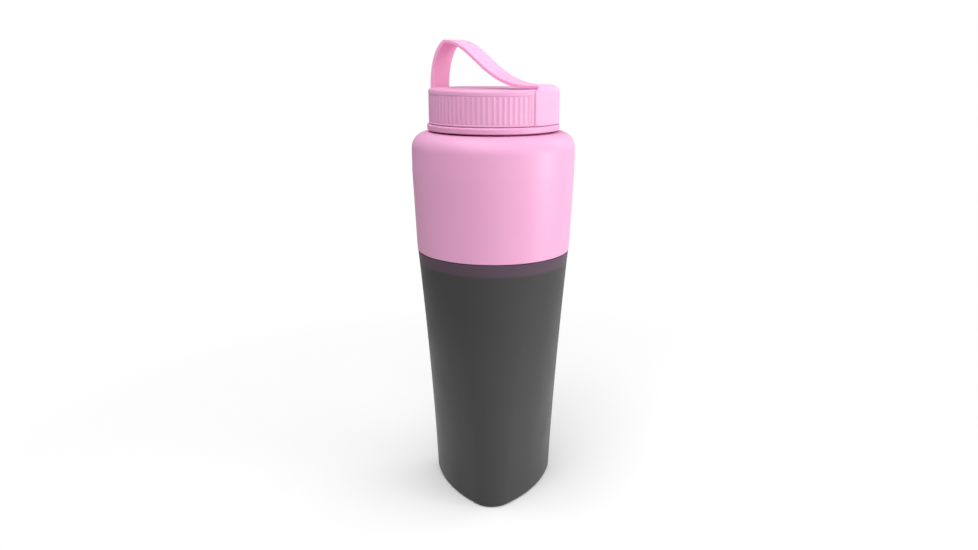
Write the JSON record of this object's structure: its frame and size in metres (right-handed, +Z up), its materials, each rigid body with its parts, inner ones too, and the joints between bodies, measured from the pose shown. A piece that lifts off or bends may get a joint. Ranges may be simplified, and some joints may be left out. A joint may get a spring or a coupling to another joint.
{
  "type": "protein shaker bottle",
  "caption": "Two-part shaker bottle: rounded-triangle base, screw joint at mid height, rounded shoulder, ribbed screw lid with seal, mixing grid and soft carry strap.",
  "frame": {"origin": "centre of the base, on the surface the bottle stands on", "axes": "+Z up along the bottle's axis; one rounded corner of the base points along -Y"},
  "size_m": [0.0815, 0.0814, 0.2349],
  "materials": {
    "smoke_plastic": "satin, slightly see-through dark grey",
    "pink_plastic": "satin moulded",
    "pink_soft": "matte soft touch",
    "seal_rubber": "matte",
    "grid_plastic": "natural"
  },
  "bodies": {
    "lower": {"lower_body": "smoke_plastic"},
    "body_seal": {"joint_seal": "seal_rubber"},
    "upper": {"upper_body": "pink_plastic", "mixing_grid": "grid_plastic"},
    "cap_seal": {"lid_seal": "seal_rubber"},
    "lid": {"lid_core": "pink_plastic", "lid_cover": "pink_plastic", "strap": "pink_soft"}
  },
  "joints": [
    {"name": "upper_lift", "type": "slide", "parent": "lower", "child": "body_seal", "axis": [0, 0, 1], "range_m": [0, 0.00961]},
    {"name": "upper_turn", "type": "hinge", "parent": "body_seal", "child": "upper", "pos_m": [0, 0, 0.1315], "axis": [0, 0, 1], "range_deg": [0, 540]},
    {"name": "lid_lift", "type": "slide", "parent": "upper", "child": "cap_seal", "axis": [0, 0, 1], "range_m": [0, 0.01801]},
    {"name": "lid_turn", "type": "hinge", "parent": "cap_seal", "child": "lid", "pos_m": [0, 0, 0.2], "axis": [0, 0, 1], "range_deg": [0, 810]}
  ],
  "couplings": [
    {"joint": "upper_lift", "follows": "upper_turn", "m_per_rad": 0.0010186},
    {"joint": "lid_lift", "follows": "lid_turn", "m_per_rad": 0.0012732}
  ]
}
